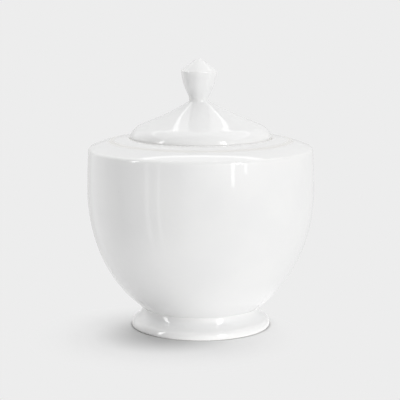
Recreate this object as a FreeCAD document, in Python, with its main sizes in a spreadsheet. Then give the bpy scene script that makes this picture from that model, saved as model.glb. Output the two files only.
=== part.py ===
"""Covered sugar bowl in glazed bone china.

Four pieces: the bowl, the foot ring stuck under it, the lid and the knob
stuck on top of the lid.  Every piece is round about the vertical axis, so
each is drawn as half a section on its own XZ plane and turned about Z.

Frame: millimetres, Z up, origin in the middle of the circle the foot
stands on.  All heights are above the table.
"""
import FreeCAD, Part
import math
import os
import Sketcher

NODES_FOLDER = "parts"
SHEET_NAME = "Dimensions"
SAME_PLACE = 0.01  # mm, two edges this close count as the same one

# Driving dimensions: change these and every piece follows.
DRIVING = [
    ("overall_height", 125.0, "table to the tip of the knob"),
    ("wall_thickness", 3.0, "bowl wall, fired and glazed"),
    ("belly_radius", 52.5, "widest part of the bowl"),
    ("belly_height", 63.5, "height of the widest part"),
    ("belly_drop", 63.5, "upright half axis of the belly ellipse"),
    ("foot_top", 9.4, "flat underside of the bowl, where the foot ring is stuck"),
    ("shoulder_radius", 52.0, "top of the wall, just under the shoulder edge"),
    ("wall_top", 82.7, "height of the top of the wall"),
    ("shoulder_round", 1.8, "rounding of the shoulder edge"),
    ("dome_radius", 58.0, "swelling of the shallow shoulder"),
    ("shoulder_inset", 1.3, "inner shoulder corner below the outer one"),
    ("inner_shoulder_round", 3.0, "rounding of the inner shoulder corner"),
    ("mouth_radius", 33.1, "opening in the shoulder"),
    ("mouth_height", 88.6, "height of the opening"),
    ("lip_round", 0.5, "rounding of the mouth edge"),
    ("ledge_height", 87.3, "ledge inside the mouth that carries the lid"),
    ("ledge_round", 0.5, "rounding of the inner edge of the ledge"),
    ("ledge_corner", 0.3, "rounding in the corner at the back of the ledge"),
    ("throat_radius", 30.0, "clear opening inside the ledge"),
    ("gallery_bottom", 84.1, "underside of the thickened mouth"),
    ("gallery_radius", 38.0, "where the thickened mouth dies out under the shoulder"),
    ("gallery_height", 84.9, "height where the thickened mouth dies out"),
    ("gallery_round", 0.9, "rounding of the edge under the throat"),
    ("floor_round", 12.0, "rounding between floor and wall inside"),
    ("cut_above", 5.0, "how far the cutting outlines run past the clay"),
    ("foot_radius", 32.35, "widest part of the foot"),
    ("foot_cove", 6.0, "hollow moulding below the bowl"),
    ("toe_round", 0.9, "outer rounding of the standing edge"),
    ("standing_width", 2.4, "flat unglazed ring the bowl stands on"),
    ("heel_round", 0.7, "inner rounding of the standing edge"),
    ("neck_width", 3.2, "width of the joint between foot ring and bowl"),
    ("crown_radius", 8.05, "swelling of the lid above its edge"),
    ("crown_height", 86.8, "height of the centre of that swelling"),
    ("edge_round", 1.1, "roll of the edge of the lid"),
    ("edge_height", 89.1, "height where the lid is widest"),
    ("seat_radius", 31.7, "outer edge of the flat seat of the lid"),
    ("lid_thickness", 2.8, "lid wall"),
    ("saddle_radius", 173.9, "long hollow sweep of the lid"),
    ("saddle_out", 89.8, "centre of the sweep, out from the axis"),
    ("saddle_up", 256.8, "centre of the sweep, above the table"),
    ("flange_radius", 29.3, "locating flange of the lid, outside"),
    ("flange_bore", 26.6, "locating flange of the lid, inside"),
    ("flange_bottom", 80.2, "lowest point of the locating flange"),
    ("flange_round", 0.9, "rounding of the end of the flange"),
    ("flange_corner", 0.6, "hollow rounding where the flange leaves the seat"),
    ("inside_round", 7.0, "rounding inside the lid above the flange"),
    ("apex_round", 9.0, "rounding inside the top of the lid"),
    ("knob_seat", 106.0, "joint between lid and knob"),
    ("knob_neck", 4.5, "thinnest part of the knob"),
    ("neck_hollow", 6.0, "hollow sweep from the neck of the knob into its side"),
    ("goblet_radius", 26.0, "swelling of the side of the knob"),
    ("rim_radius", 8.25, "rim of the knob"),
    ("rim_height", 119.2, "height of the rim of the knob"),
    ("rim_round", 0.6, "rounding of the rim of the knob"),
    ("cap_radius", 36.0, "swelling of the cap of the knob"),
    ("tip_round", 1.8, "rounding of the tip of the knob"),
]

# Sizes that follow from the driving ones.
DERIVED = [
    ("belly_tall", "=2 * belly_drop", "upright axis of the belly ellipse"),
    ("belly_wide", "=2 * belly_radius", "level axis of the belly ellipse"),
    ("neck_radius", "=belly_radius * sqrt(1 - ((belly_height - foot_top) / belly_drop)^2)",
     "belly ellipse at the top of the foot"),
    ("cavity_radius", "=belly_radius - wall_thickness", "widest part of the inside"),
    ("cavity_drop", "=belly_drop - wall_thickness", "upright half axis inside"),
    ("cavity_tall", "=2 * cavity_drop", "upright axis of the inside ellipse"),
    ("cavity_wide", "=2 * cavity_radius", "level axis of the inside ellipse"),
    ("floor_height", "=foot_top + wall_thickness", "floor of the bowl"),
    ("floor_edge", "=cavity_radius * sqrt(1 - ((belly_height - floor_height) / cavity_drop)^2)",
     "where floor and wall meet before rounding"),
    ("inner_shoulder", "=shoulder_radius - wall_thickness", "top of the wall inside"),
    ("inner_top", "=wall_top - shoulder_inset", "height of the inner shoulder corner"),
    ("inner_dome", "=dome_radius - wall_thickness", "underside of the shoulder"),
    ("cut_top", "=mouth_height + cut_above", "top of the cutting outlines"),
    ("foot_bore", "=neck_radius - neck_width", "inside of the foot ring at the top"),
    ("toe_radius", "=foot_radius - toe_round", "outer edge of the standing ring"),
    ("heel_radius", "=toe_radius - standing_width - heel_round", "inner edge before rounding"),
    ("under_saddle", "=saddle_radius + lid_thickness", "underside of the sweep"),
    ("cut_bottom", "=flange_bottom - cut_above", "bottom of the lid cutting outline"),
    ("tip_centre", "=overall_height - tip_round", "centre of the rounded tip"),
]

doc = FreeCAD.newDocument("sugar_bowl")


def make_sheet():
    """Fill the spreadsheet: one row for each size, with its own alias."""
    sheet = doc.addObject("Spreadsheet::Sheet", SHEET_NAME)
    for row, (name, content, note) in enumerate(DRIVING + DERIVED, start=1):
        sheet.set("A%d" % row, name.replace("_", " "))
        sheet.setAlias("B%d" % row, name)
        sheet.set("B%d" % row, str(content))
        sheet.set("C%d" % row, note)
    doc.recompute()
    return sheet


sheet = make_sheet()
size_of = {name: float(sheet.get(name)) for name, content, note in DRIVING + DERIVED}


def at(r, z):
    """Point of a half section: r out from the axis and z up."""
    return FreeCAD.Vector(r, z, 0)


def arc_centre(start, end, radius, turns_left):
    """Centre of the arc of this radius that runs from start to end."""
    chord = end - start
    half = chord.Length / 2
    reach = math.sqrt(max(radius ** 2 - half ** 2, 0))
    aside = at(-chord.y, chord.x).normalize()
    if not turns_left:
        aside = aside * -1
    return (start + end) * 0.5 + aside * reach


class Outline:
    """Closed half section: pieces drawn roughly in place, then held by constraints."""

    def __init__(self, body, name):
        self.sketch = body.newObject("Sketcher::SketchObject", name)
        plane = [item for item in body.Origin.OriginFeatures if item.Role == "XZ_Plane"][0]
        self.sketch.AttachmentSupport = [(plane, "")]
        self.sketch.MapMode = "FlatFace"
        self.pieces = []

    def hold(self, kind, *items):
        """Add a constraint that has no size."""
        return self.sketch.addConstraint(Sketcher.Constraint(kind, *items))

    def size(self, kind, items, name):
        """Add a constraint whose size is read from the sheet."""
        index = self.sketch.addConstraint(Sketcher.Constraint(kind, *items, size_of[name]))
        self.sketch.setExpression("Constraints[%d]" % index, "%s.%s" % (SHEET_NAME, name))
        return index

    def join(self, index, first, last, smooth=False):
        """Put a new piece at the end of the chain; smooth joins leave no corner."""
        if self.pieces:
            before, before_first, before_last = self.pieces[-1]
            self.hold("Tangent" if smooth else "Coincident", before, before_last, index, first)
        self.pieces.append((index, first, last))
        return (index, first, last)

    def close(self):
        """Join the end of the chain to its beginning."""
        index, first, last = self.pieces[-1]
        start, start_first, start_last = self.pieces[0]
        self.hold("Coincident", index, last, start, start_first)

    def line(self, start, end):
        index = self.sketch.addGeometry(Part.LineSegment(start, end), False)
        return self.join(index, 1, 2)

    def arc(self, start, end, radius, turns_left, smooth=False):
        """Arc from start to end, curving to the left or to the right on the way."""
        centre = arc_centre(start, end, radius, turns_left)
        begin = math.atan2(start.y - centre.y, start.x - centre.x)
        finish = math.atan2(end.y - centre.y, end.x - centre.x)
        circle = Part.Circle(centre, FreeCAD.Vector(0, 0, 1), radius)
        if turns_left:
            index = self.sketch.addGeometry(Part.ArcOfCircle(circle, begin, finish), False)
            return self.join(index, 1, 2, smooth)
        index = self.sketch.addGeometry(Part.ArcOfCircle(circle, finish, begin), False)
        return self.join(index, 2, 1, smooth)

    def belly(self, height, tall, wide, low):
        """Part of an ellipse centred on the axis, from height low up to its widest point."""
        half_tall = size_of[tall] / 2
        half_wide = size_of[wide] / 2
        middle = size_of[height]
        top = at(0, middle + half_tall)
        bottom = at(0, middle - half_tall)
        side = at(half_wide, middle)
        far_side = at(-half_wide, middle)
        curve = Part.Ellipse(top, far_side, at(0, middle))
        begin = 2 * math.pi - math.acos((size_of[low] - middle) / half_tall)
        arc = Part.ArcOfEllipse(curve, begin, 1.5 * math.pi)
        index = self.sketch.addGeometry(arc, False)
        piece = self.join(index, 1, 2)
        long_axis = self.sketch.addGeometry(Part.LineSegment(top, bottom), True)
        short_axis = self.sketch.addGeometry(Part.LineSegment(far_side, side), True)
        self.hold("InternalAlignment:EllipseMajorDiameter", long_axis, index)
        self.hold("InternalAlignment:EllipseMinorDiameter", short_axis, index)
        self.place((index, 3), "axis", height)
        self.hold("Vertical", long_axis)
        self.size("Distance", (long_axis,), tall)
        self.size("Distance", (short_axis,), wide)
        return piece

    def place(self, point, out=None, up=None):
        """Fix a point: out from the axis and up from the table, either or both."""
        if out == "axis":
            self.hold("PointOnObject", *point, -2)
        elif out is not None:
            self.size("DistanceX", (-1, 1) + point, out)
        if up == "table":
            self.hold("PointOnObject", *point, -1)
        elif up is not None:
            self.size("DistanceY", (-1, 1) + point, up)

    def level(self, piece):
        self.hold("Horizontal", piece[0])

    def upright(self, piece):
        self.hold("Vertical", piece[0])

    def side_on(self, piece, end):
        """Make an arc run straight up at one of its ends: its centre is level with that end."""
        self.hold("Horizontal", piece[0], 3, piece[0], end)


def beginning(piece):
    return (piece[0], piece[1])


def finish_of(piece):
    return (piece[0], piece[2])


def centre_of(piece):
    return (piece[0], 3)


def turn(body, kind, name, outline):
    """Turn an outline about the vertical axis, to add clay or to take it away."""
    feature = body.newObject("PartDesign::" + kind, name)
    feature.Profile = outline.sketch
    feature.ReferenceAxis = (outline.sketch, ["V_Axis"])
    feature.Angle = 360
    doc.recompute()
    return feature


def edge_at(shape, radius, height):
    """Name of the circular edge about the axis with this radius and height."""
    for number, edge in enumerate(shape.Edges, start=1):
        if edge.Degenerated or not isinstance(edge.Curve, Part.Circle):
            continue
        centre = edge.Curve.Center
        same_height = abs(centre.z - height) < SAME_PLACE
        if same_height and abs(edge.Curve.Radius - radius) < SAME_PLACE:
            return "Edge%d" % number
    raise ValueError("no edge of radius %.2f at height %.2f" % (radius, height))


def round_edge(body, name, radius, height, rounding):
    """Round one circular edge of the body as it stands now."""
    before = body.Tip
    feature = body.newObject("PartDesign::Fillet", name)
    feature.Base = (before, [edge_at(before.Shape, radius, height)])
    feature.setExpression("Radius", "%s.%s" % (SHEET_NAME, rounding))
    doc.recompute()
    return feature


def new_body(label):
    body = doc.addObject("PartDesign::Body", label)
    body.Label = label
    return body


def bowl_outside(body):
    """Solid bowl: flat underside, belly, nearly upright wall, shallow domed shoulder."""
    s = size_of
    outline = Outline(body, "bowl_outside")
    underside_edge = at(s["neck_radius"], s["foot_top"])
    widest = at(s["belly_radius"], s["belly_height"])
    wall_top = at(s["shoulder_radius"], s["wall_top"])
    dome_start = at(s["shoulder_radius"] - s["shoulder_round"], s["wall_top"] + s["shoulder_round"])
    mouth = at(s["mouth_radius"], s["mouth_height"])
    lean = s["belly_radius"] - s["shoulder_radius"]
    rise = s["wall_top"] - s["belly_height"]
    wall_radius = (rise ** 2 + lean ** 2) / (2 * lean)

    underside = outline.line(at(0, s["foot_top"]), underside_edge)
    belly = outline.belly("belly_height", "belly_tall", "belly_wide", "foot_top")
    wall = outline.arc(widest, wall_top, wall_radius, True)
    edge = outline.arc(wall_top, dome_start, s["shoulder_round"], True, smooth=True)
    dome = outline.arc(dome_start, mouth, s["dome_radius"], True, smooth=True)
    opening = outline.line(mouth, at(0, s["mouth_height"]))
    axis = outline.line(at(0, s["mouth_height"]), at(0, s["foot_top"]))
    outline.close()

    outline.place(beginning(underside), "axis", "foot_top")
    outline.level(underside)
    outline.place(finish_of(belly), None, "belly_height")
    outline.side_on(wall, wall[1])
    outline.place(finish_of(wall), "shoulder_radius", "wall_top")
    outline.size("Radius", (edge[0],), "shoulder_round")
    outline.size("Radius", (dome[0],), "dome_radius")
    outline.place(finish_of(dome), "mouth_radius", "mouth_height")
    outline.level(opening)
    outline.upright(axis)
    return outline


def bowl_inside(body):
    """Hollow of the bowl with the throat above it."""
    s = size_of
    outline = Outline(body, "bowl_inside")
    floor_edge = at(s["floor_edge"], s["floor_height"])
    widest = at(s["cavity_radius"], s["belly_height"])
    corner = at(s["inner_shoulder"], s["inner_top"])
    gallery_end = at(s["gallery_radius"], s["gallery_height"])
    throat_bottom = at(s["throat_radius"], s["gallery_bottom"])
    throat_top = at(s["throat_radius"], s["cut_top"])
    lean = s["cavity_radius"] - s["inner_shoulder"]
    rise = s["inner_top"] - s["belly_height"]
    wall_radius = (rise ** 2 + lean ** 2) / (2 * lean)

    floor = outline.line(at(0, s["floor_height"]), floor_edge)
    belly = outline.belly("belly_height", "cavity_tall", "cavity_wide", "floor_height")
    wall = outline.arc(widest, corner, wall_radius, True)
    dome = outline.arc(corner, gallery_end, s["inner_dome"], True)
    gallery = outline.line(gallery_end, throat_bottom)
    throat = outline.line(throat_bottom, throat_top)
    above = outline.line(throat_top, at(0, s["cut_top"]))
    axis = outline.line(at(0, s["cut_top"]), at(0, s["floor_height"]))
    outline.close()

    outline.place(beginning(floor), "axis", "floor_height")
    outline.level(floor)
    outline.place(finish_of(belly), None, "belly_height")
    outline.side_on(wall, wall[1])
    outline.place(finish_of(wall), "inner_shoulder", "inner_top")
    outline.size("Radius", (dome[0],), "inner_dome")
    outline.place(finish_of(dome), "gallery_radius", "gallery_height")
    outline.place(finish_of(gallery), "throat_radius", "gallery_bottom")
    outline.upright(throat)
    outline.place(finish_of(throat), None, "cut_top")
    outline.level(above)
    outline.upright(axis)
    return outline


def bowl_rebate(body):
    """Step cut into the mouth, so that the lid sits on a ledge below the shoulder."""
    s = size_of
    outline = Outline(body, "bowl_rebate")
    ledge = outline.line(at(0, s["ledge_height"]), at(s["mouth_radius"], s["ledge_height"]))
    side = outline.line(at(s["mouth_radius"], s["ledge_height"]), at(s["mouth_radius"], s["cut_top"]))
    above = outline.line(at(s["mouth_radius"], s["cut_top"]), at(0, s["cut_top"]))
    axis = outline.line(at(0, s["cut_top"]), at(0, s["ledge_height"]))
    outline.close()

    outline.place(beginning(ledge), "axis", "ledge_height")
    outline.level(ledge)
    outline.place(finish_of(ledge), "mouth_radius")
    outline.upright(side)
    outline.place(finish_of(side), None, "cut_top")
    outline.level(above)
    outline.upright(axis)
    return outline


def make_bowl():
    s = size_of
    body = new_body("bowl")
    turn(body, "Revolution", "bowl_solid", bowl_outside(body))
    turn(body, "Groove", "bowl_hollow", bowl_inside(body))
    turn(body, "Groove", "bowl_mouth", bowl_rebate(body))
    round_edge(body, "round_floor", s["floor_edge"], s["floor_height"], "floor_round")
    round_edge(body, "round_shoulder", s["inner_shoulder"], s["inner_top"], "inner_shoulder_round")
    round_edge(body, "round_lip", s["mouth_radius"], s["mouth_height"], "lip_round")
    round_edge(body, "round_ledge", s["throat_radius"], s["ledge_height"], "ledge_round")
    round_edge(body, "round_ledge_back", s["mouth_radius"], s["ledge_height"], "ledge_corner")
    round_edge(body, "round_gallery", s["throat_radius"], s["gallery_bottom"], "gallery_round")
    return body


def foot_section(body):
    """Ring under the bowl: cove at the top, roll below it, rounded standing edge."""
    s = size_of
    outline = Outline(body, "foot_section")
    reach = s["foot_radius"] - s["neck_radius"]
    drop = s["foot_top"] - s["toe_round"]
    tilt = 2 * math.atan2(reach, drop)
    roll_radius = drop / math.sin(tilt) - s["foot_cove"]
    bend_out = s["neck_radius"] + s["foot_cove"] * (1 - math.cos(tilt))
    bend_up = s["foot_top"] - s["foot_cove"] * math.sin(tilt)
    neck_in = at(s["foot_bore"], s["foot_top"])
    neck_out = at(s["neck_radius"], s["foot_top"])
    bend = at(bend_out, bend_up)
    toe_top = at(s["foot_radius"], s["toe_round"])
    toe = at(s["toe_radius"], 0)
    heel = at(s["heel_radius"], 0)

    joint = outline.line(neck_in, neck_out)
    cove = outline.arc(neck_out, bend, s["foot_cove"], True)
    roll = outline.arc(bend, toe_top, roll_radius, False, smooth=True)
    edge = outline.arc(toe_top, toe, s["toe_round"], False)
    standing = outline.line(toe, heel)
    bore = outline.line(heel, neck_in)
    outline.close()

    outline.place(beginning(joint), "foot_bore", "foot_top")
    outline.place(finish_of(joint), "neck_radius", "foot_top")
    outline.size("Radius", (cove[0],), "foot_cove")
    outline.side_on(cove, cove[1])
    outline.place(finish_of(roll), "foot_radius", "toe_round")
    outline.side_on(roll, roll[2])
    outline.side_on(edge, edge[1])
    outline.place(finish_of(edge), "toe_radius", "table")
    outline.place(beginning(bore), "heel_radius", "table")
    return outline


def make_foot_ring():
    body = new_body("foot_ring")
    turn(body, "Revolution", "foot_solid", foot_section(body))
    round_edge(body, "round_heel", size_of["heel_radius"], 0, "heel_round")
    return body


def saddle_height(radius, out):
    """Height of a sweep about the saddle centre, at a distance out from the axis."""
    s = size_of
    return s["saddle_up"] - math.sqrt(radius ** 2 - (s["saddle_out"] - out) ** 2)


def tangent_point(start, centre, radius):
    """Where the line from start touches a circle, on the circle's right as seen from start."""
    apart = centre - start
    aim = math.atan2(apart.y, apart.x) - math.asin(radius / apart.Length)
    reach = math.sqrt(apart.Length ** 2 - radius ** 2)
    return start + at(math.cos(aim), math.sin(aim)) * reach


def lid_outside(body):
    """Solid lid: flat seat, tapered side, rolled edge, long hollow sweep up to the neck."""
    s = size_of
    outline = Outline(body, "lid_outside")
    saddle_centre = at(s["saddle_out"], s["saddle_up"])
    apart = s["crown_radius"] + s["saddle_radius"]
    crown_in = math.sqrt(apart ** 2 - (s["saddle_up"] - s["crown_height"]) ** 2)
    crown_centre = at(s["saddle_out"] - crown_in, s["crown_height"])
    share = s["crown_radius"] / apart
    bend = crown_centre + (saddle_centre - crown_centre) * share
    within = s["crown_radius"] - s["edge_round"]
    edge_out = math.sqrt(within ** 2 - (s["edge_height"] - s["crown_height"]) ** 2)
    edge_centre = at(crown_centre.x + edge_out, s["edge_height"])
    edge_top = crown_centre + (edge_centre - crown_centre) * (s["crown_radius"] / within)
    seat_edge = at(s["seat_radius"], s["ledge_height"])
    edge_start = tangent_point(seat_edge, edge_centre, s["edge_round"])
    over = s["saddle_up"] - s["knob_seat"]
    beside = s["saddle_out"] - s["knob_neck"]
    neck_round = (s["saddle_radius"] ** 2 - beside ** 2 - over ** 2)
    neck_round = neck_round / (2 * (s["saddle_radius"] - beside))
    neck_centre = at(s["knob_neck"] + neck_round, s["knob_seat"])
    outward = (neck_centre - saddle_centre).normalize()
    turn_up = saddle_centre + outward * s["saddle_radius"]
    neck_top = at(s["knob_neck"], s["knob_seat"])

    seat = outline.line(at(0, s["ledge_height"]), seat_edge)
    outline.line(seat_edge, edge_start)
    edge = outline.arc(edge_start, edge_top, s["edge_round"], True, smooth=True)
    crown = outline.arc(edge_top, bend, s["crown_radius"], True, smooth=True)
    saddle = outline.arc(bend, turn_up, s["saddle_radius"], False, smooth=True)
    neck = outline.arc(turn_up, neck_top, neck_round, False, smooth=True)
    joint = outline.line(neck_top, at(0, s["knob_seat"]))
    axis = outline.line(at(0, s["knob_seat"]), at(0, s["ledge_height"]))
    outline.close()

    outline.place(beginning(seat), "axis", "ledge_height")
    outline.level(seat)
    outline.place(finish_of(seat), "seat_radius")
    outline.size("Radius", (edge[0],), "edge_round")
    outline.place(centre_of(edge), None, "edge_height")
    outline.size("Radius", (crown[0],), "crown_radius")
    outline.place(centre_of(crown), None, "crown_height")
    outline.size("Radius", (saddle[0],), "saddle_radius")
    outline.place(centre_of(saddle), "saddle_out", "saddle_up")
    outline.side_on(neck, neck[2])
    outline.place(finish_of(neck), "knob_neck", "knob_seat")
    outline.level(joint)
    outline.upright(axis)
    return outline


def lid_flange(body):
    """Solid plug below the seat; its bore is cut together with the inside."""
    s = size_of
    outline = Outline(body, "lid_flange")
    seat_edge = at(s["flange_radius"], s["ledge_height"])
    end = outline.line(at(0, s["flange_bottom"]), at(s["flange_radius"], s["flange_bottom"]))
    side = outline.line(at(s["flange_radius"], s["flange_bottom"]), seat_edge)
    seat = outline.line(seat_edge, at(0, s["ledge_height"]))
    axis = outline.line(at(0, s["ledge_height"]), at(0, s["flange_bottom"]))
    outline.close()

    outline.place(beginning(end), "axis", "flange_bottom")
    outline.level(end)
    outline.place(finish_of(end), "flange_radius")
    outline.upright(side)
    outline.place(finish_of(side), None, "ledge_height")
    outline.level(seat)
    outline.upright(axis)
    return outline


def lid_inside(body):
    """Hollow of the lid: bore of the flange, underside of the sweep, domed top."""
    s = size_of
    outline = Outline(body, "lid_inside")
    bore_top = at(s["flange_bore"], saddle_height(s["under_saddle"], s["flange_bore"]))
    saddle_centre = at(s["saddle_out"], s["saddle_up"])
    apart = s["under_saddle"] + s["apex_round"]
    apex_centre = at(0, saddle_height(apart, 0))
    share = s["apex_round"] / apart
    meeting = apex_centre + (saddle_centre - apex_centre) * share
    apex = apex_centre + at(0, s["apex_round"])

    mouth = outline.line(at(0, s["cut_bottom"]), at(s["flange_bore"], s["cut_bottom"]))
    bore = outline.line(at(s["flange_bore"], s["cut_bottom"]), bore_top)
    sweep = outline.arc(bore_top, meeting, s["under_saddle"], False)
    top = outline.arc(meeting, apex, s["apex_round"], True, smooth=True)
    axis = outline.line(apex, at(0, s["cut_bottom"]))
    outline.close()

    outline.place(beginning(mouth), "axis", "cut_bottom")
    outline.level(mouth)
    outline.place(finish_of(mouth), "flange_bore")
    outline.upright(bore)
    outline.size("Radius", (sweep[0],), "under_saddle")
    outline.place(centre_of(sweep), "saddle_out", "saddle_up")
    outline.size("Radius", (top[0],), "apex_round")
    outline.place(centre_of(top), "axis")
    outline.upright(axis)
    return outline


def make_lid():
    s = size_of
    body = new_body("lid")
    turn(body, "Revolution", "lid_solid", lid_outside(body))
    turn(body, "Revolution", "lid_plug", lid_flange(body))
    turn(body, "Groove", "lid_hollow", lid_inside(body))
    bore_top = saddle_height(s["under_saddle"], s["flange_bore"])
    round_edge(body, "round_inside", s["flange_bore"], bore_top, "inside_round")
    round_edge(body, "round_flange_corner", s["flange_radius"], s["ledge_height"], "flange_corner")
    round_edge(body, "round_flange_out", s["flange_radius"], s["flange_bottom"], "flange_round")
    round_edge(body, "round_flange_in", s["flange_bore"], s["flange_bottom"], "flange_round")
    return body


def knob_section(body):
    """Knob: hollow neck, swelling side up to the rim, low pointed cap with a rounded tip."""
    s = size_of
    outline = Outline(body, "knob_section")
    foot = at(s["knob_neck"], s["knob_seat"])
    rim = at(s["rim_radius"], s["rim_height"])
    tip = at(0, s["overall_height"])
    cap_end = at(s["tip_round"] / 2, s["overall_height"] - s["tip_round"] / 4)
    rise = (s["rim_height"] - s["knob_seat"]) / 5
    bend = at(s["knob_neck"] + rise / 4, s["knob_seat"] + rise)

    joint = outline.line(at(0, s["knob_seat"]), foot)
    neck = outline.arc(foot, bend, s["neck_hollow"], False)
    side = outline.arc(bend, rim, s["goblet_radius"], True, smooth=True)
    cap = outline.arc(rim, cap_end, s["cap_radius"], True)
    point = outline.arc(cap_end, tip, s["tip_round"], True, smooth=True)
    axis = outline.line(tip, at(0, s["knob_seat"]))
    outline.close()

    outline.place(beginning(joint), "axis", "knob_seat")
    outline.level(joint)
    outline.place(finish_of(joint), "knob_neck")
    outline.size("Radius", (neck[0],), "neck_hollow")
    outline.side_on(neck, neck[1])
    outline.size("Radius", (side[0],), "goblet_radius")
    outline.place(finish_of(side), "rim_radius", "rim_height")
    outline.size("Radius", (cap[0],), "cap_radius")
    outline.size("Radius", (point[0],), "tip_round")
    outline.place(centre_of(point), "axis", "tip_centre")
    outline.upright(axis)
    return outline


def make_knob():
    s = size_of
    body = new_body("lid_knob")
    turn(body, "Revolution", "knob_solid", knob_section(body))
    round_edge(body, "round_rim", s["rim_radius"], s["rim_height"], "rim_round")
    return body


def check(item):
    """Stop if a feature failed, an outline is loose, or a shape is missing or broken."""
    if "Invalid" in item.State or "Error" in item.State:
        raise RuntimeError("%s: %s" % (item.Name, item.State))
    if item.isDerivedFrom("Sketcher::SketchObject"):
        if item.solve() != 0 or not item.FullyConstrained:
            raise RuntimeError("%s is not fully constrained" % item.Name)
    if hasattr(item, "Shape") and item.isDerivedFrom("PartDesign::Feature"):
        if item.Shape.isNull() or not item.Shape.isValid():
            raise RuntimeError("%s has no valid shape" % item.Name)


def write_nodes(bodies):
    os.makedirs(NODES_FOLDER, exist_ok=True)
    for body in bodies:
        if body.Shape.isNull() or not body.Shape.isValid() or len(body.Shape.Solids) != 1:
            raise RuntimeError("%s is not one valid solid" % body.Label)
        body.Shape.exportStep("%s/%s.step" % (NODES_FOLDER, body.Label))
        box = body.Shape.optimalBoundingBox()
        print("%-10s volume %9.1f mm3, z %.2f to %.2f, width %.2f"
              % (body.Label, body.Shape.Volume, box.ZMin, box.ZMax, box.XLength))


bodies = [make_bowl(), make_foot_ring(), make_lid(), make_knob()]
doc.recompute()
for item in doc.Objects:
    check(item)
write_nodes(bodies)
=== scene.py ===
"""The looks of a covered sugar bowl: four pieces of glazed bone china on a plain pale floor.

Metres, +Z up, the camera looks along +Y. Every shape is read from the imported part, so that the
china goes where the design says; this script adds the clean meshes, the glaze and the light.
"""

import math
import random

import bpy
import numpy as np
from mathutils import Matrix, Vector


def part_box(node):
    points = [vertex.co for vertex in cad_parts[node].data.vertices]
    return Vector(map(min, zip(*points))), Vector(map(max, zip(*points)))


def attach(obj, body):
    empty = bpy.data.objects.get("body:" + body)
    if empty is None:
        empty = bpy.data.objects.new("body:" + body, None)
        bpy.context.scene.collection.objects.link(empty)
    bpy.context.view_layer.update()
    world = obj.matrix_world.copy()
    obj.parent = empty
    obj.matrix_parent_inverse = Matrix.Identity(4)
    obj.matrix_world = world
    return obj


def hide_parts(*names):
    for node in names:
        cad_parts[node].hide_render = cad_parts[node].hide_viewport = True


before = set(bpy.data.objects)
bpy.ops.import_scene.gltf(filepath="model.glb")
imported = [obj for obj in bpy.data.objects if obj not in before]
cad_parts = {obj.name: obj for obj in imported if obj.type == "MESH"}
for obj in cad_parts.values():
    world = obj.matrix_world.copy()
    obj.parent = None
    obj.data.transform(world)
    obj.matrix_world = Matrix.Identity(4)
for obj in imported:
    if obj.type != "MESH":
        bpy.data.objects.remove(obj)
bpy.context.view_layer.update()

MM = 0.001

# How finely the pieces are meshed.
AROUND = 288                          # faces round each piece
LONGEST_STEP = 0.9 * MM               # along an outline
BEND_PER_STEP = math.radians(4.0)     # along an outline
CORNER = math.radians(20.0)           # an outline that bends more than this has an edge there
SAME_PLACE = 1e-6                     # closer points than this are one point
DECIMALS = 6                          # of the outline points, to match

# What handwork leaves in the shape.
KNOB_ASIDE = -0.8 * MM                # the knob was stuck on a little to the left
NECK = 9.0 * MM                       # the stretch below the knob where the lid bends over to it
RIPPLE = 0.05 * MM                    # unevenness of the walls
RIPPLE_WAVES = 7                      # how many waves make it up
RIPPLE_CRESTS = (2, 9)                # fewest and most crests of a wave round the piece
RIPPLE_SLANT = 130.0                  # how far a wave may twist round, in radians per metre up
CALM_MIDDLE = 5.0 * MM                # nearer to the axis than this the unevenness dies out
GLAZE_REACH = 1.3 * MM                # how far glaze runs into a hollow or off an edge
TURNING_MARK = 2.6 * MM               # from one faint turning mark to the next
MARK_DRIFT = 1.6                      # how far the marks wander, in radians of their wave
BOWL_MARKS = 0.0012 * MM              # how high the marks are
FOOT_MARKS = 0.0022 * MM
LID_MARKS = 0.0010 * MM
SEAT_ABOVE_FLANGE = 7.1 * MM          # where the lid sits on the ledge, from the end of its flange

# The china: its colours, and how much of each is laid over the white where it belongs.
WHITE = (1.0, 1.0, 1.0, 1.0)
BLACK = (0.0, 0.0, 0.0, 1.0)
CHINA_WHITE = (0.868, 0.868, 0.864, 1.0)
CHINA_SHADE = (0.848, 0.849, 0.848, 1.0)
GLAZE_POOLED = (0.815, 0.822, 0.826, 1.0)
GLAZE_THIN = (0.885, 0.883, 0.874, 1.0)
KILN_FLECK = (0.42, 0.38, 0.33, 1.0)
DRY_CHINA = (0.80, 0.79, 0.77, 1.0)
GRAIN_SHARE = 0.25
POOLED_SHARE = 0.8
THIN_SHARE = 0.6
FLECK_SHARE = 0.35

# Its patterns: how wide their features are, and from what noise to what noise they come in.
CLOUD_WIDTH = 22.0 * MM
CLOUD_NOISE = (0.35, 0.65)
GRAIN_WIDTH = 0.9 * MM
GRAIN_NOISE = (0.3, 0.7)
SMEAR_WIDTH = 14.0 * MM
SMEAR_NOISE = (0.45, 0.75)
DRIFT_WIDTH = 12.0 * MM
WANDER_WIDTH = 4.0 * MM               # of the edges of the dry bands
FLECK_SPACING = 9.0 * MM
FLECK_SIZE = 0.22 * MM
FLECKLESS = 0.83                      # share of the places for a fleck that stay empty

# Its surface.
GLAZE_IOR = 1.5
GLAZE_GLOSS = (0.03, 0.05)            # roughness where clean, and where faintly smeared
WORN_ROUGHNESS = 0.05                 # added on edges, where the glaze is thin
RUBBED_ROUGHNESS = 0.35               # added where the lid rubs on the ledge
DRY_ROUGHNESS = 0.5                   # added where the glaze was wiped off
WAVE_WIDTH = 9.0 * MM
WAVE_HEIGHT = 0.020 * MM
PEEL_WIDTH = 1.6 * MM
PEEL_HEIGHT = 0.0016 * MM

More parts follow.
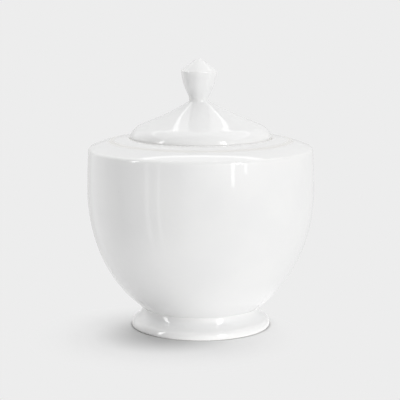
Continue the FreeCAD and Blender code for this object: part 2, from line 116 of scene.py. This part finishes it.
# Where it is dry, and where a glow is painted in the gap round the lid: heights, from the seat or
# from the floor.
LEDGE_RUBBED = (-0.3 * MM, 0.3 * MM)  # on the ledge of the bowl, from the seat of the lid
LID_RUBBED = (-0.2 * MM, 0.2 * MM)    # under the lid, from its seat
RUBBED_EDGE = 0.2 * MM                # how soft the edges of those are
FOOT_WIPED = (-1.0 * MM, 0.3 * MM)    # under the foot, from the floor
FOOT_EDGE = 0.3 * MM
GAP_RADII = (31.2 * MM, 33.3 * MM)    # the gap between the lid and the mouth
PAINTED_GLOW_HEIGHTS = (-0.3 * MM, 1.2 * MM)       # the part of its height with the painted glow, from the seat
GAP_EDGE = 0.5 * MM
PAINTED_GAP_GLOW = 0.10                      # how bright the painted glow is

# The light. Azimuth 0 is towards the camera, +90 degrees is to the right, 180 is behind the bowl.
BACKDROP = 0.847                      # what the camera sees past the floor, and the floor itself
ROOM_LIGHT = 0.54                     # the light from everywhere, before any panel
FLOOR_COLOUR = (0.90, 0.90, 0.90, 1.0)
FLOOR_SIZE = 12.0                     # from the axis to each side
MIRRORED_FLOOR = (0.06, 0.18)         # from where to where the floor fades out of the glaze
FLOOR_BOUNCE = 0.85                   # the light the floor throws up on to the china
FOOT_BOUNCE = 1.05                    # and what it throws up close to the foot
NEAR_FOOT = (0.040, 0.060)            # from where to where the one passes into the other
LIT_SIDE = (-0.030, 0.010)            # to the right of this the shadow does not dull the china
SHADOW_PLACE = (-0.016, -0.022, 0.0)  # middle of the shadow, partly real and partly painted, on the left in front of the foot
SHADOW_REACH = (0.028, 0.063)         # from where to where it fades into the plain backdrop
PAINTED_SHADOW_CORE = (0.004, 0.036)          # from where to where its painted dark core fades
PAINTED_SHADOW_DEPTH = 0.40                   # how much darker that painted shadow is
CONTACT_SHADOW = (0.0335, 0.0365)     # all round the foot, from where to where it fades
PAINTED_CONTACT_LINE = (0.0316, 0.0338)       # a painted contact shadow: the dark line where the foot meets the floor
PAINTED_CONTACT_DEPTH = 0.55                  # how much darker that painted line is

# Panels: strength, azimuth, half width, softness, lowest and highest elevation, softness of those.
SOFT_PANELS = [
    (1.55, 30.0, 28.0, 55.0, -4.0, 24.0, 14.0),      # the main light, right of the camera
    (0.50, -127.0, 18.0, 18.0, -95.0, 45.0, 16.0),   # a reflector behind on the left
    (0.40, -130.0, 30.0, 30.0, 12.0, 45.0, 8.0),     # and its upper half
    (0.17, 90.0, 60.0, 50.0, -95.0, 0.0, 6.0),       # the table on the right
    (0.60, 180.0, 105.0, 30.0, 44.0, 95.0, 2.5),     # the softbox overhead, towards the back
    (0.29, 0.0, 75.0, 30.0, 67.0, 95.0, 15.0),       # its front end
    (0.15, 10.0, 70.0, 40.0, 24.0, 67.0, 12.0),      # the room above the camera
    (0.22, 180.0, 40.0, 40.0, -95.0, 5.0, 6.0),      # the table behind
    (0.32, 180.0, 60.0, 40.0, 5.0, 44.0, 6.0),       # the pale wall behind
]
# Where these are, the light is dimmed by their strength.
DARK_PANELS = [
    (-0.98, -56.0, 39.0, 14.0, -95.0, 32.0, 25.0),   # a black card on the left
]
# These are not dimmed by the dark panels.
SMALL_LIGHTS = [
    (3.0, 32.0, 1.8, 1.2, -6.0, 34.0, 1.5),          # three strips of the main light
    (2.6, 45.5, 1.6, 1.2, -4.0, 34.0, 1.5),
    (2.0, 56.0, 0.8, 0.8, -3.0, 34.0, 1.5),
    (3.5, 40.0, 4.0, 1.0, 0.0, 42.0, 2.0),           # and the lamp behind them
    (2.2, -72.0, 4.0, 1.5, 0.0, 34.0, 2.0),          # a small lamp on the left
    (0.9, -42.0, 1.5, 1.5, -62.0, 2.0, 6.0),         # its stand
    (0.8, -55.0, 2.5, 2.5, -62.0, 2.0, 6.0),         # the stand of the card
]
# These are seen in the glaze, but light nothing.
MIRROR_PANELS = [
    (0.28, 180.0, 105.0, 30.0, 44.0, 95.0, 2.5),     # the cloth of the overhead softbox
    (1.4, 180.0, 100.0, 20.0, 42.0, 45.0, 1.0),      # its bright rim
    (7.0, 40.0, 4.0, 1.0, 0.0, 42.0, 2.0),           # the bulbs of the two lamps
    (5.0, -72.0, 4.0, 1.5, 0.0, 34.0, 2.0),
]

# The camera.
CAMERA_ASIDE = -0.0003
CAMERA_DISTANCE = 0.6906
CAMERA_HEIGHT = 0.1733
CAMERA_PITCH = math.radians(9.39)
CAMERA_LENS = 135.33
CAMERA_SENSOR = 36.0


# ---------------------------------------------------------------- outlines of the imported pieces

def half_section(node):
    """The links between neighbouring points of a node's outline in the XZ half plane."""
    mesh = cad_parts[node].data
    spots = {}
    for vertex in mesh.vertices:
        x, y, z = vertex.co
        if abs(y) < SAME_PLACE and x > -SAME_PLACE:
            spots[vertex.index] = (round(max(x, 0.0), DECIMALS), round(z, DECIMALS))
    links = {spot: set() for spot in spots.values()}
    for edge in mesh.edges:
        start, end = (spots.get(index) for index in edge.vertices)
        if start and end and start != end:
            links[start].add(end)
            links[end].add(start)
    return links


def outline_of(node):
    """A node's outline as (radius, height) points in order, and whether it closes on itself.

    Flat discs have no point on the axis, so a loose end off the axis is led straight in to it.
    """
    links = half_section(node)
    ends = sorted(spot for spot, others in links.items() if len(others) == 1)
    closed = not ends
    walk = [ends[0] if ends else min(links)]
    seen = set(walk)
    while True:
        ahead = sorted(links[walk[-1]] - seen)
        if not ahead:
            break
        walk.append(ahead[0])
        seen.add(ahead[0])
    if closed:
        return walk, True
    if walk[0][0] > SAME_PLACE:
        walk.insert(0, (0.0, walk[0][1]))
    if walk[-1][0] > SAME_PLACE:
        walk.append((0.0, walk[-1][1]))
    return walk, False


def heading(start, end):
    """Direction of travel from one outline point to another, as an angle."""
    return math.atan2(end[1] - start[1], end[0] - start[0])


def turn_between(before, after):
    """How far a direction turns, between -pi and pi."""
    return (after - before + math.pi) % math.tau - math.pi


def headings_at(points, closed):
    """Direction of arrival and of departure at each outline point.

    They are the same on a smooth stretch, where they lean towards the longer neighbour, because a
    long step is a straight or nearly straight one. At an edge each keeps to its own side. Where
    the outline meets the axis the surface is level.
    """
    last = len(points) - 1
    both = []
    for index, here in enumerate(points):
        if not closed and index in (0, last):
            other = points[1] if index == 0 else points[last - 1]
            level = 0.0 if index == 0 else math.pi
            if abs(other[0] - here[0]) < SAME_PLACE:
                level = heading(here, other)
            both.append((level, level))
            continue
        before = points[index - 1]
        after = points[(index + 1) % len(points)]
        arrive = heading(before, here)
        turn = turn_between(arrive, heading(here, after))
        if abs(turn) > CORNER:
            both.append((arrive, arrive + turn))
            continue
        step_in = math.dist(before, here)
        step_out = math.dist(here, after)
        lean = arrive + turn * step_out / (step_in + step_out)
        both.append((lean, lean))
    return both


def smooth_outline(points, closed):
    """The outline again, with more points, on cubic curves between the ones it has."""
    directions = headings_at(points, closed)
    count = len(points)
    finer = []
    for index in range(count if closed else count - 1):
        start = points[index]
        end = points[(index + 1) % count]
        leave = directions[index][1]
        arrive = directions[(index + 1) % count][0]
        length = math.dist(start, end)
        bend = abs(turn_between(leave, arrive))
        steps = max(1, math.ceil(length / LONGEST_STEP), math.ceil(bend / BEND_PER_STEP))
        for step in range(steps):
            t = step / steps
            finer.append(cubic(start, end, leave, arrive, length, t))
    if not closed:
        finer.append(points[-1])
    return finer


def cubic(start, end, leave, arrive, length, t):
    """A point on the cubic that leaves start and arrives at end in the given directions."""
    pull_start = t * (1.0 - t) ** 2 * length
    pull_end = -t * t * (1.0 - t) * length
    share = t * t * (3.0 - 2.0 * t)
    radius = start[0] + (end[0] - start[0]) * share
    radius += pull_start * math.cos(leave) + pull_end * math.cos(arrive)
    height = start[1] + (end[1] - start[1]) * share
    height += pull_start * math.sin(leave) + pull_end * math.sin(arrive)
    return max(radius, 0.0), height


# ------------------------------------------------------------------------------- making pieces

def unevenness(seed):
    """The slight unevenness of hand-finished china, as a function of angle and height.

    It moves the surface in or out by about the ripple at most. Each wave has a whole number of
    crests round the piece, so that the surface closes.
    """
    draw = random.Random(seed)
    terms = []
    for _ in range(RIPPLE_WAVES):
        crests = draw.randint(*RIPPLE_CRESTS)
        rise = draw.uniform(-RIPPLE_SLANT, RIPPLE_SLANT)
        phase = draw.uniform(0.0, math.tau)
        terms.append((crests, rise, phase))

    def shift(angle, height):
        total = sum(np.sin(n * angle + k * height + p) for n, k, p in terms)
        return RIPPLE * total / math.sqrt(RIPPLE_WAVES)

    return shift


def glaze_depth(outline, closed):
    """How thick the glaze lies at each outline point: above 0 in hollows, below 0 on edges."""
    points = np.array(outline)
    steps = np.diff(points, axis=0, append=points[:1])
    lengths = np.hypot(steps[:, 0], steps[:, 1])
    directions = np.arctan2(steps[:, 1], steps[:, 0])
    turns = (directions - np.roll(directions, 1) + math.pi) % math.tau - math.pi
    if not closed:
        turns[[0, -1]] = 0.0
    travelled = np.concatenate([[0.0], np.cumsum(lengths)[:-1]])
    apart = np.abs(travelled[:, None] - travelled[None, :])
    if closed:
        apart = np.minimum(apart, lengths.sum() - apart)
    nearby = np.exp(-0.5 * (apart / GLAZE_REACH) ** 2)
    across = points[:, 0] * np.roll(points[:, 1], -1) - np.roll(points[:, 0], -1) * points[:, 1]
    solid_on_left = math.copysign(1.0, across.sum())
    return np.tanh(-solid_on_left * (nearby @ turns))


def lathe(name, outline, closed, shift, aside):
    """A mesh object made by turning an outline round the Z axis.

    The walls are uneven by shift, and each ring is moved sideways by aside, a function of height.
    """
    angles = np.linspace(0.0, math.tau, AROUND, endpoint=False)
    vertices = []
    rings = []
    depths = []
    for (radius, height), depth in zip(outline, glaze_depth(outline, closed)):
        first = len(vertices)
        move = aside(height)
        if radius < SAME_PLACE:
            vertices.append((move, 0.0, height))
            depths.append(depth)
            rings.append([first] * AROUND)
            continue
        reach = radius + shift(angles, height) * min(1.0, radius / CALM_MIDDLE)
        across = reach * np.cos(angles) + move
        vertices.extend(zip(across, reach * np.sin(angles), [height] * AROUND))
        depths.extend([depth] * AROUND)
        rings.append(list(range(first, first + AROUND)))
    mesh = bpy.data.meshes.new(name)
    mesh.from_pydata(vertices, [], faces_between(rings, closed))
    mesh.validate()
    if signed_volume(mesh) < 0.0:
        mesh.flip_normals()
    mesh.shade_smooth()
    mesh.set_sharp_from_angle(angle=CORNER)
    mesh.attributes.new("glaze_depth", "FLOAT", "POINT").data.foreach_set("value", depths)
    piece = bpy.data.objects.new(name, mesh)
    bpy.context.scene.collection.objects.link(piece)
    return piece


def faces_between(rings, closed):
    """The faces that join each ring of vertices to the next; at the axis they are triangles."""
    faces = []
    count = len(rings)
    for index in range(count if closed else count - 1):
        low = rings[index]
        high = rings[(index + 1) % count]
        for side in range(AROUND):
            after = (side + 1) % AROUND
            corners = [low[side], low[after], high[after], high[side]]
            faces.append(list(dict.fromkeys(corners)))
    return faces


def signed_volume(mesh):
    """The volume inside a closed mesh, below zero if its faces look inwards."""
    mesh.calc_loop_triangles()
    corners = np.array([vertex.co for vertex in mesh.vertices])
    triangles = np.array([list(triangle.vertices) for triangle in mesh.loop_triangles])
    first, second, third = (corners[triangles[:, side]] for side in range(3))
    return float(np.einsum("ij,ij->i", first, np.cross(second, third)).sum() / 6.0)


def centred(height):
    """No move sideways, at any height."""
    return 0.0


def knob_aside(height):
    """The sideways move of the knob, dying out down the neck of the lid."""
    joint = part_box("lid_knob")[0].z
    share = min(1.0, max(0.0, 1.0 - (joint - height) / NECK))
    return KNOB_ASIDE * share * share * (3.0 - 2.0 * share)


def china_piece(node, body, material, aside):
    """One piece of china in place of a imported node, riding on the node's body."""
    outline, closed = outline_of(node)
    finer = smooth_outline(outline, closed)
    piece = lathe(node + "_china", finer, closed, unevenness(node), aside)
    piece.data.materials.append(material)
    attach(piece, body)
    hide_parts(node)
    return piece


# ------------------------------------------------------------------------------------ materials

def add_node(tree, kind, settings=None, **inputs):
    """A node with its settings and inputs; an input is a number, a colour or another socket."""
    node = tree.nodes.new(kind)
    for name, value in (settings or {}).items():
        setattr(node, name, value)
    for name, value in inputs.items():
        connect(tree, value, node.inputs[name.replace("_", " ")])
    return node


def connect(tree, value, socket):
    """Sets a socket to a value, or links it to another socket."""
    if isinstance(value, bpy.types.NodeSocket):
        tree.links.new(value, socket)
    else:
        socket.default_value = value


def calculate(tree, operation, *values):
    """A math node's result."""
    node = add_node(tree, "ShaderNodeMath", {"operation": operation})
    for socket, value in zip(node.inputs, values):
        connect(tree, value, socket)
    return node.outputs["Value"]


def ramp(tree, value, low, high, at_low=0.0, at_high=1.0):
    """A smooth step: at_low below low, at_high above high."""
    node = add_node(tree, "ShaderNodeMapRange", {"interpolation_type": "SMOOTHSTEP"}, Value=value,
                    From_Min=low, From_Max=high, To_Min=at_low, To_Max=at_high)
    return node.outputs["Result"]


def between(tree, value, low, high, soft):
    """1 between low and high and 0 outside, with both ends as soft as given."""
    above = ramp(tree, value, low - soft / 2.0, low + soft / 2.0)
    below = ramp(tree, value, high - soft / 2.0, high + soft / 2.0, 1.0, 0.0)
    return calculate(tree, "MULTIPLY", above, below)


def mixed(tree, kind, share, first, second):
    """Two values of a kind, FLOAT or RGBA, mixed; share is how much of the second."""
    node = add_node(tree, "ShaderNodeMix", {"data_type": kind}, Factor=share, A=first, B=second)
    return node.outputs["Result"]


def blend(tree, share, first, second):
    """A colour between two colours or colour sockets."""
    return mixed(tree, "RGBA", share, first, second)


def own_place(tree):
    """Coordinates that stay with the piece when it moves."""
    return add_node(tree, "ShaderNodeTexCoord").outputs["Object"]


def own_place_along(tree, axis):
    """One of those coordinates: X, Y or Z."""
    return add_node(tree, "ShaderNodeSeparateXYZ", Vector=own_place(tree)).outputs[axis]


def noise(tree, size, detail=2.0):
    """Soft noise from 0 to 1 with features of about the given size."""
    place = own_place(tree)
    node = add_node(tree, "ShaderNodeTexNoise", Vector=place, Scale=1.0 / size, Detail=detail)
    return node.outputs["Fac"]


def band(tree, low, high, soft):
    """1 between two heights on the piece and 0 outside, with an edge that wanders a little."""
    swing = calculate(tree, "SUBTRACT", noise(tree, WANDER_WIDTH), 0.5)
    wander = calculate(tree, "MULTIPLY", swing, soft)
    height = calculate(tree, "ADD", own_place_along(tree, "Z"), wander)
    return between(tree, height, low, high, soft)


def specks(tree):
    """Tiny round flecks, in a few cells of a loose grid."""
    place = own_place(tree)
    cells = add_node(tree, "ShaderNodeTexVoronoi", Vector=place, Scale=1.0 / FLECK_SPACING)
    edge = FLECK_SIZE / FLECK_SPACING
    near = ramp(tree, cells.outputs["Distance"], 0.5 * edge, edge, 1.0, 0.0)
    draw = add_node(tree, "ShaderNodeSeparateColor", Color=cells.outputs["Color"]).outputs["Red"]
    return calculate(tree, "MULTIPLY", near, calculate(tree, "GREATER_THAN", draw, FLECKLESS))


def china_colour(tree, depth):
    """White bone china through clear glaze: cooler where the glaze is deep, creamier where thin."""
    clouds = ramp(tree, noise(tree, CLOUD_WIDTH, 3.0), *CLOUD_NOISE)
    colour = blend(tree, clouds, CHINA_WHITE, CHINA_SHADE)
    grain = ramp(tree, noise(tree, GRAIN_WIDTH), *GRAIN_NOISE, 0.0, GRAIN_SHARE)
    colour = blend(tree, grain, colour, CHINA_SHADE)
    pooled = ramp(tree, depth, 0.0, 1.0, 0.0, POOLED_SHARE)
    colour = blend(tree, pooled, colour, GLAZE_POOLED)
    thin = ramp(tree, depth, -1.0, -0.2, THIN_SHARE, 0.0)
    colour = blend(tree, thin, colour, GLAZE_THIN)
    flecks = calculate(tree, "MULTIPLY", specks(tree), FLECK_SHARE)
    return blend(tree, flecks, colour, KILN_FLECK)


def glaze_surface(tree, mark_height):
    """How high the glaze stands, in metres: soft waves, fine orange peel and turning marks."""
    waves = calculate(tree, "MULTIPLY", noise(tree, WAVE_WIDTH, 1.0), WAVE_HEIGHT)
    peel = calculate(tree, "MULTIPLY", noise(tree, PEEL_WIDTH, 1.0), PEEL_HEIGHT)
    drift = calculate(tree, "MULTIPLY", noise(tree, DRIFT_WIDTH), MARK_DRIFT)
    height = own_place_along(tree, "Z")
    turns = calculate(tree, "MULTIPLY_ADD", height, math.tau / TURNING_MARK, drift)
    marks = calculate(tree, "MULTIPLY", calculate(tree, "SINE", turns), mark_height)
    return calculate(tree, "ADD", calculate(tree, "ADD", waves, peel), marks)


def glaze(name, mark_height):
    """Clear gloss glaze over white bone china, with turning marks of the given height."""
    material = bpy.data.materials.new(name)
    material.use_nodes = True
    tree = material.node_tree
    shader = tree.nodes["Principled BSDF"]
    depth = add_node(tree, "ShaderNodeAttribute", {"attribute_name": "glaze_depth"}).outputs["Fac"]
    shader.inputs["Base Color"].default_value = CHINA_WHITE
    connect(tree, china_colour(tree, depth), shader.inputs["Base Color"])
    smears = ramp(tree, noise(tree, SMEAR_WIDTH, 4.0), *SMEAR_NOISE, *GLAZE_GLOSS)
    worn = ramp(tree, depth, -1.0, -0.3, WORN_ROUGHNESS, 0.0)
    connect(tree, calculate(tree, "ADD", smears, worn), shader.inputs["Roughness"])
    connect(tree, GLAZE_IOR, shader.inputs["IOR"])
    bump = add_node(tree, "ShaderNodeBump", Height=glaze_surface(tree, mark_height), Distance=1.0)
    connect(tree, bump.outputs["Normal"], shader.inputs["Normal"])
    return material


def dry_band(material, low, high, soft, roughness):
    """Between two heights the glaze is wiped or worn off and the dry china shows."""
    tree = material.node_tree
    shader = tree.nodes["Principled BSDF"]
    share = band(tree, low, high, soft)
    glazed = shader.inputs["Base Color"].links[0].from_socket
    connect(tree, blend(tree, share, glazed, DRY_CHINA), shader.inputs["Base Color"])
    glossy = shader.inputs["Roughness"].links[0].from_socket
    rougher = calculate(tree, "MULTIPLY_ADD", share, roughness, glossy)
    connect(tree, rougher, shader.inputs["Roughness"])


def paint_gap_glow(material):
    """A painted glow in the narrow gap round the lid, standing in for light that comes through the
    thin china.
    """
    tree = material.node_tree
    shader = tree.nodes["Principled BSDF"]
    across = own_place_along(tree, "X")
    along = own_place_along(tree, "Y")
    squares = calculate(tree, "MULTIPLY", across, across)
    squares = calculate(tree, "MULTIPLY_ADD", along, along, squares)
    radius = calculate(tree, "SQRT", squares)
    inside = calculate(tree, "GREATER_THAN", radius, GAP_RADII[0])
    within = calculate(tree, "LESS_THAN", radius, GAP_RADII[1])
    ring = calculate(tree, "MULTIPLY", inside, within)
    deep = band(tree, lid_seat() + PAINTED_GLOW_HEIGHTS[0], lid_seat() + PAINTED_GLOW_HEIGHTS[1], GAP_EDGE)
    painted_glow = calculate(tree, "MULTIPLY", calculate(tree, "MULTIPLY", ring, deep), PAINTED_GAP_GLOW)
    # The glow is painted as emission on the china, which is no lamp.
    connect(tree, WHITE, shader.inputs["Emission Color"])
    connect(tree, painted_glow, shader.inputs["Emission Strength"])
    material.cycles.emission_sampling = "NONE"


def lid_seat():
    """The height at which the lid sits on the ledge of the bowl."""
    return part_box("lid")[0].z + SEAT_ABOVE_FLANGE


def seated_material(name, mark_height, rubbed):
    """The glaze of a piece with a wall of the gap round the lid, rubbed dry where the lid sits,
    with a painted glow in the gap.
    """
    material = glaze(name, mark_height)
    low, high = rubbed
    dry_band(material, lid_seat() + low, lid_seat() + high, RUBBED_EDGE, RUBBED_ROUGHNESS)
    paint_gap_glow(material)
    return material


def bowl_material():
    """The bowl: turning marks all over, and a dry ring on the ledge where the lid rubs."""
    return seated_material("bowl_glaze", BOWL_MARKS, LEDGE_RUBBED)


def foot_material():
    """The foot ring: wiped dry underneath, where it stood in the kiln."""
    material = glaze("foot_glaze", FOOT_MARKS)
    dry_band(material, *FOOT_WIPED, FOOT_EDGE, DRY_ROUGHNESS)
    return material


def lid_material():
    """The lid: finer turning marks, and a dry ring where it sits on the ledge."""
    return seated_material("lid_glaze", LID_MARKS, LID_RUBBED)


def knob_material():
    """The knob: hand-finished, so without turning marks."""
    return glaze("knob_glaze", 0.0)


# -------------------------------------------------------------------------- floor, light, camera

def far_from(tree, place):
    """Distance of the point that is shaded from a place."""
    point = add_node(tree, "ShaderNodeNewGeometry").outputs["Position"]
    away = add_node(tree, "ShaderNodeVectorMath", {"operation": "DISTANCE"})
    tree.links.new(point, away.inputs[0])
    away.inputs[1].default_value = place
    return away.outputs["Value"]


def mix_shaders(tree, share, first, second):
    """Two shaders blended; share is how much of the second."""
    mix = add_node(tree, "ShaderNodeMixShader", Fac=share)
    tree.links.new(first, mix.inputs[1])
    tree.links.new(second, mix.inputs[2])
    return mix.outputs["Shader"]


def for_rays(tree, kind, special, usual):
    """A number for rays of one kind, such as camera rays, and the usual number for the others."""
    return mixed(tree, "FLOAT", add_node(tree, "ShaderNodeLightPath").outputs[kind], usual, special)


def paper_with_painted_shadow(tree, from_axis, from_shadow):
    """Pale paper lit by the studio, with a painted shadow in the middle of its shadow and a painted
    dark line where the foot meets it.
    """
    painted_core = ramp(tree, from_shadow, *PAINTED_SHADOW_CORE, PAINTED_SHADOW_DEPTH, 0.0)
    painted_line = ramp(tree, from_axis, *PAINTED_CONTACT_LINE, PAINTED_CONTACT_DEPTH, 0.0)
    painted_dark = calculate(tree, "MAXIMUM", painted_core, painted_line)
    # Painted shade: the paper's colour is darkened towards black here.
    colour = blend(tree, painted_dark, FLOOR_COLOUR, BLACK)
    return add_node(tree, "ShaderNodeBsdfDiffuse", Color=colour).outputs["BSDF"]


def even_backdrop(tree, from_axis):
    """An even glow: the backdrop to the camera, and to the china the light the floor throws up."""
    bounce = ramp(tree, from_axis, *NEAR_FOOT, FOOT_BOUNCE, FLOOR_BOUNCE)
    glow = for_rays(tree, "Is Camera Ray", BACKDROP, bounce)
    return add_node(tree, "ShaderNodeEmission", Strength=glow).outputs["Emission"]


def evenness(tree, from_axis, from_shadow):
    """How much of the even backdrop there is over the paper.

    It is none in the shadow and close round the foot. The china is lit as if there were no
    shadow on the side that faces the light.
    """
    past_shadow = ramp(tree, from_shadow, *SHADOW_REACH)
    past_foot = ramp(tree, from_axis, *CONTACT_SHADOW)
    seen = calculate(tree, "MULTIPLY", past_shadow, past_foot)
    lit_side = ramp(tree, own_place_along(tree, "X"), *LIT_SIDE)
    return calculate(tree, "MAXIMUM", seen, for_rays(tree, "Is Camera Ray", 0.0, lit_side))


def let_through(tree, from_axis):
    """Where the floor is not there: from below, and in the glaze beyond the foot.

    Further out the glaze mirrors the studio below the edge of the table.
    """
    gone = ramp(tree, from_axis, *MIRRORED_FLOOR)
    not_mirrored = for_rays(tree, "Is Glossy Ray", gone, 0.0)
    from_below = add_node(tree, "ShaderNodeNewGeometry").outputs["Backfacing"]
    return calculate(tree, "MAXIMUM", not_mirrored, from_below)


def floor_material():
    """Paper round the foot that passes into an even backdrop further out."""
    material = bpy.data.materials.new("floor_paper")
    material.use_nodes = True
    tree = material.node_tree
    tree.nodes.remove(tree.nodes["Principled BSDF"])
    from_axis = far_from(tree, (0.0, 0.0, 0.0))
    from_shadow = far_from(tree, SHADOW_PLACE)
    paper = paper_with_painted_shadow(tree, from_axis, from_shadow)
    backdrop = even_backdrop(tree, from_axis)
    sheet = mix_shaders(tree, evenness(tree, from_axis, from_shadow), paper, backdrop)
    nothing = add_node(tree, "ShaderNodeBsdfTransparent").outputs["BSDF"]
    floor = mix_shaders(tree, let_through(tree, from_axis), sheet, nothing)
    tree.links.new(floor, tree.nodes["Material Output"].inputs["Surface"])
    material.cycles.emission_sampling = "NONE"
    return material


def make_floor():
    """A plain pale floor, larger than any view of the bowl."""
    sides = [(-FLOOR_SIZE, -FLOOR_SIZE), (FLOOR_SIZE, -FLOOR_SIZE),
             (FLOOR_SIZE, FLOOR_SIZE), (-FLOOR_SIZE, FLOOR_SIZE)]
    mesh = bpy.data.meshes.new("floor")
    mesh.from_pydata([(x, y, 0.0) for x, y in sides], [], [(0, 1, 2, 3)])
    mesh.materials.append(floor_material())
    floor = bpy.data.objects.new("floor", mesh)
    bpy.context.scene.collection.objects.link(floor)


def panel(tree, sky, azimuth, half_width, soft, low, high, soft_ends):
    """1 for directions on a panel of the studio and 0 off it, in degrees, with soft edges."""
    aside = calculate(tree, "SUBTRACT", sky["azimuth"], azimuth)
    aside = calculate(tree, "ABSOLUTE", calculate(tree, "WRAP", aside, 180.0, -180.0))
    across = ramp(tree, aside, half_width - soft / 2.0, half_width + soft / 2.0, 1.0, 0.0)
    along = between(tree, sky["elevation"], low, high, soft_ends)
    return calculate(tree, "MULTIPLY", across, along)


def sky_angles(tree):
    """Azimuth and elevation of the direction looked in, in degrees."""
    parts = add_node(tree, "ShaderNodeSeparateXYZ", Vector=own_direction(tree))
    nearer = calculate(tree, "MULTIPLY", parts.outputs["Y"], -1.0)
    azimuth = calculate(tree, "ARCTAN2", parts.outputs["X"], nearer)
    elevation = calculate(tree, "ARCSINE", parts.outputs["Z"])
    return {"azimuth": calculate(tree, "DEGREES", azimuth),
            "elevation": calculate(tree, "DEGREES", elevation)}


def own_direction(tree):
    """The direction looked in, as a vector of length 1."""
    direction = add_node(tree, "ShaderNodeTexCoord").outputs["Generated"]
    node = add_node(tree, "ShaderNodeVectorMath", {"operation": "NORMALIZE"}, Vector=direction)
    return node.outputs["Vector"]


def add_panels(tree, sky, start, panels):
    """A brightness with the panels' strengths added to it where they are."""
    total = start
    for strength, *shape in panels:
        total = calculate(tree, "MULTIPLY_ADD", panel(tree, sky, *shape), strength, total)
    return total


def make_light():
    """Plain soft studio light, as a pattern in the world all round the bowl.

    Only the light from above the table falls on the china. Its mirror images go on below.
    """
    world = bpy.data.worlds.new("studio")
    bpy.context.scene.world = world
    world.use_nodes = True
    tree = world.node_tree
    sky = sky_angles(tree)
    light = add_panels(tree, sky, ROOM_LIGHT, SOFT_PANELS)
    light = calculate(tree, "MULTIPLY", light, add_panels(tree, sky, 1.0, DARK_PANELS))
    light = add_panels(tree, sky, light, SMALL_LIGHTS)
    mirrored = add_panels(tree, sky, light, MIRROR_PANELS)
    over_table = calculate(tree, "GREATER_THAN", sky["elevation"], 0.0)
    light = calculate(tree, "MULTIPLY", light, over_table)
    light = for_rays(tree, "Is Glossy Ray", mirrored, light)
    light = for_rays(tree, "Is Camera Ray", BACKDROP, light)
    connect(tree, WHITE, tree.nodes["Background"].inputs["Color"])
    connect(tree, light, tree.nodes["Background"].inputs["Strength"])


def make_camera():
    """The camera, a little above the bowl and looking slightly down."""
    data = bpy.data.cameras.new("camera")
    data.lens = CAMERA_LENS
    data.sensor_width = CAMERA_SENSOR
    camera = bpy.data.objects.new("camera", data)
    camera.location = (CAMERA_ASIDE, -CAMERA_DISTANCE, CAMERA_HEIGHT)
    camera.rotation_euler = (math.pi / 2.0 - CAMERA_PITCH, 0.0, 0.0)
    bpy.context.scene.collection.objects.link(camera)
    bpy.context.scene.camera = camera


china_piece("bowl", "bowl_body", bowl_material(), centred)
china_piece("foot_ring", "bowl_body", foot_material(), centred)
china_piece("lid", "lid_body", lid_material(), knob_aside)
china_piece("lid_knob", "lid_body", knob_material(), knob_aside)
make_floor()
make_light()
make_camera()
bpy.context.scene.view_settings.view_transform = "Standard"
